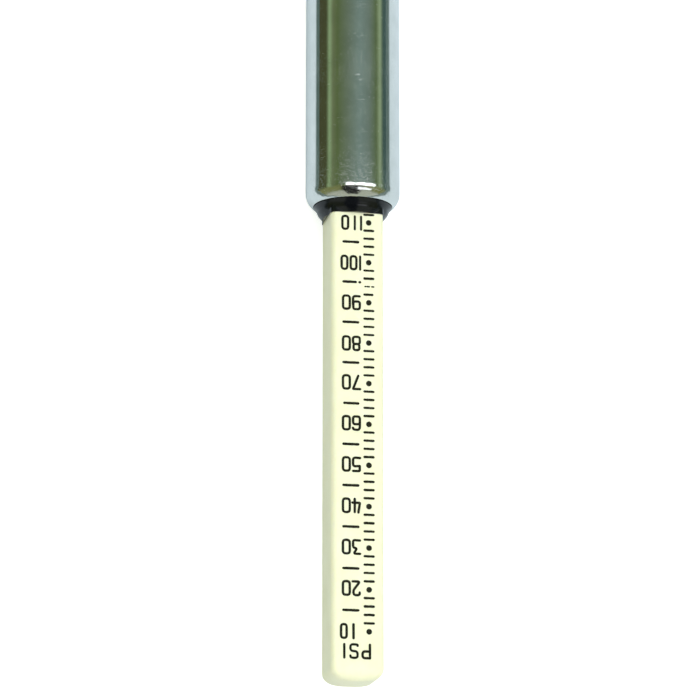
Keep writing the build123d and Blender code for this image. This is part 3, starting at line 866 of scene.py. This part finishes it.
# ------------------------------------------------------------------ room light
# Bands round the X axis, in degrees from straight up towards +Y, as (degrees, colour).
BANDS = [(-180, (0.8, 0.82, 0.82)), (-95, (0.5, 0.52, 0.5)), (-90, (0.07, 0.075, 0.035)),
         (-68, (0.07, 0.08, 0.035)), (-59, (0.29, 0.42, 0.22)), (-50, (0.16, 0.2, 0.1)),
         (-38, (0.11, 0.155, 0.06)), (-12, (0.15, 0.20, 0.14)), (18, (0.20, 0.28, 0.25)),
         (40, (0.17, 0.23, 0.19)), (60, (0.115, 0.165, 0.075)), (71, (0.31, 0.41, 0.24)),
         (80, (0.07, 0.12, 0.10)), (90, (0.06, 0.11, 0.105)), (95, (0.5, 0.54, 0.55)),
         (180, (0.8, 0.82, 0.82))]
# Patches as (fore, lateral, half_fore, half_lateral, colour, blend), angles in degrees. fore leans
# towards +X, lateral goes round the X axis from straight up towards +Y, and later patches cover.
PATCHES = [(26, 0, 16, 180, (0.21, 0.23, 0.09), 14),
           (66, 0, 24, 180, (0.46, 0.49, 0.40), 14),
           (44, -2, 30, 27, (0.012, 0.012, 0.014), 8),
           (3.5, 20, 7.5, 37, (2.6, 2.7, 2.75), 5),
           (30, 34, 7, 17, (1.5, 1.55, 1.6), 5)]


def add_patch(tree, total, lift, side, fore, lateral, half_fore, half_lat, colour, blend):
    """Lays one soft-edged patch of light over the colour total. lift and side are angles in radians."""
    masks = []
    for value, mid, half in ((lift, fore, half_fore), (side, lateral, half_lat)):
        off = math_node(tree, "ABSOLUTE", math_node(tree, "SUBTRACT", value, math.radians(mid)))
        inside, outside = math.radians(half - blend / 2), math.radians(half + blend / 2)
        masks.append(range_node(tree, off, inside, outside, 1.0, 0.0, smooth=True))
    mix = tree.nodes.new("ShaderNodeMix")
    mix.data_type = "RGBA"
    tree.links.new(math_node(tree, "MULTIPLY", *masks), mix.inputs["Factor"])
    tree.links.new(total, mix.inputs[MIX_A])
    mix.inputs[MIX_B].default_value = (*colour, 1)
    return mix.outputs[MIX_RESULT]


def room():
    """World light: dim grey-green above, bands at the sides and soft boxes in front of the mouth."""
    world = bpy.data.worlds.new("room")
    bpy.context.scene.world = world
    world.use_nodes = True
    tree = world.node_tree
    axes = split_xyz(tree, tree.nodes.new("ShaderNodeTexCoord").outputs["Generated"])
    side = math_node(tree, "ARCTAN2", axes["Y"], axes["Z"])
    share = math_node(tree, "MULTIPLY_ADD", side, 1 / math.pi / 2, 0.5)
    total = ramp_node(tree, share, [((deg + 180) / 360, colour) for deg, colour in BANDS])
    yy = math_node(tree, "MULTIPLY", axes["Y"], axes["Y"])
    zz = math_node(tree, "MULTIPLY", axes["Z"], axes["Z"])
    upright = math_node(tree, "SQRT", math_node(tree, "ADD", yy, zz))
    lift = math_node(tree, "ARCTAN2", axes["X"], upright)
    for patch in PATCHES:
        total = add_patch(tree, total, lift, side, *patch)
    back = tree.nodes["Background"]
    tree.links.new(total, back.inputs["Color"])
    back.inputs["Strength"].default_value = 1.0


room()


def sun(name, strength, spread, direction, colour):
    """A soft light from direction, spread in degrees, kept out of mirror reflections."""
    data = bpy.data.lights.new(name, "SUN")
    data.energy = strength
    data.angle = math.radians(spread)
    data.color = colour
    ob = bpy.data.objects.new(name, data)
    ob.rotation_euler = Vector(direction).to_track_quat("Z", "Y").to_euler()
    ob.visible_glossy = False
    bpy.context.scene.collection.objects.link(ob)


sun("key_soft", 1.67, 90, (0.15, 0.40, 1.0), (1.0, 1.0, 0.985))
sun("fill_soft", 1.06, 150, (-0.2, -0.45, 1.0), (0.98, 0.99, 1.0))

# ------------------------------------------------------------------ camera
TILT = math.radians(75.6)                      # above the bench
DISTANCE = 0.45
LENS = 183.86
AIM = Vector((NOSE_X + 17.03 * MM, -0.341 * MM, 0))


def camera():
    data = bpy.data.cameras.new("camera")
    data.sensor_width = 36.0
    data.lens = LENS
    data.clip_start = 0.01
    cam = bpy.data.objects.new("camera", data)
    bpy.context.scene.collection.objects.link(cam)
    cam.location = AIM + DISTANCE * Vector((math.cos(TILT), 0, math.sin(TILT)))
    cam.rotation_euler = (cam.location - AIM).to_track_quat("Z", "Y").to_euler()
    bpy.context.scene.camera = cam


camera()
bpy.context.scene.view_settings.view_transform = "Standard"
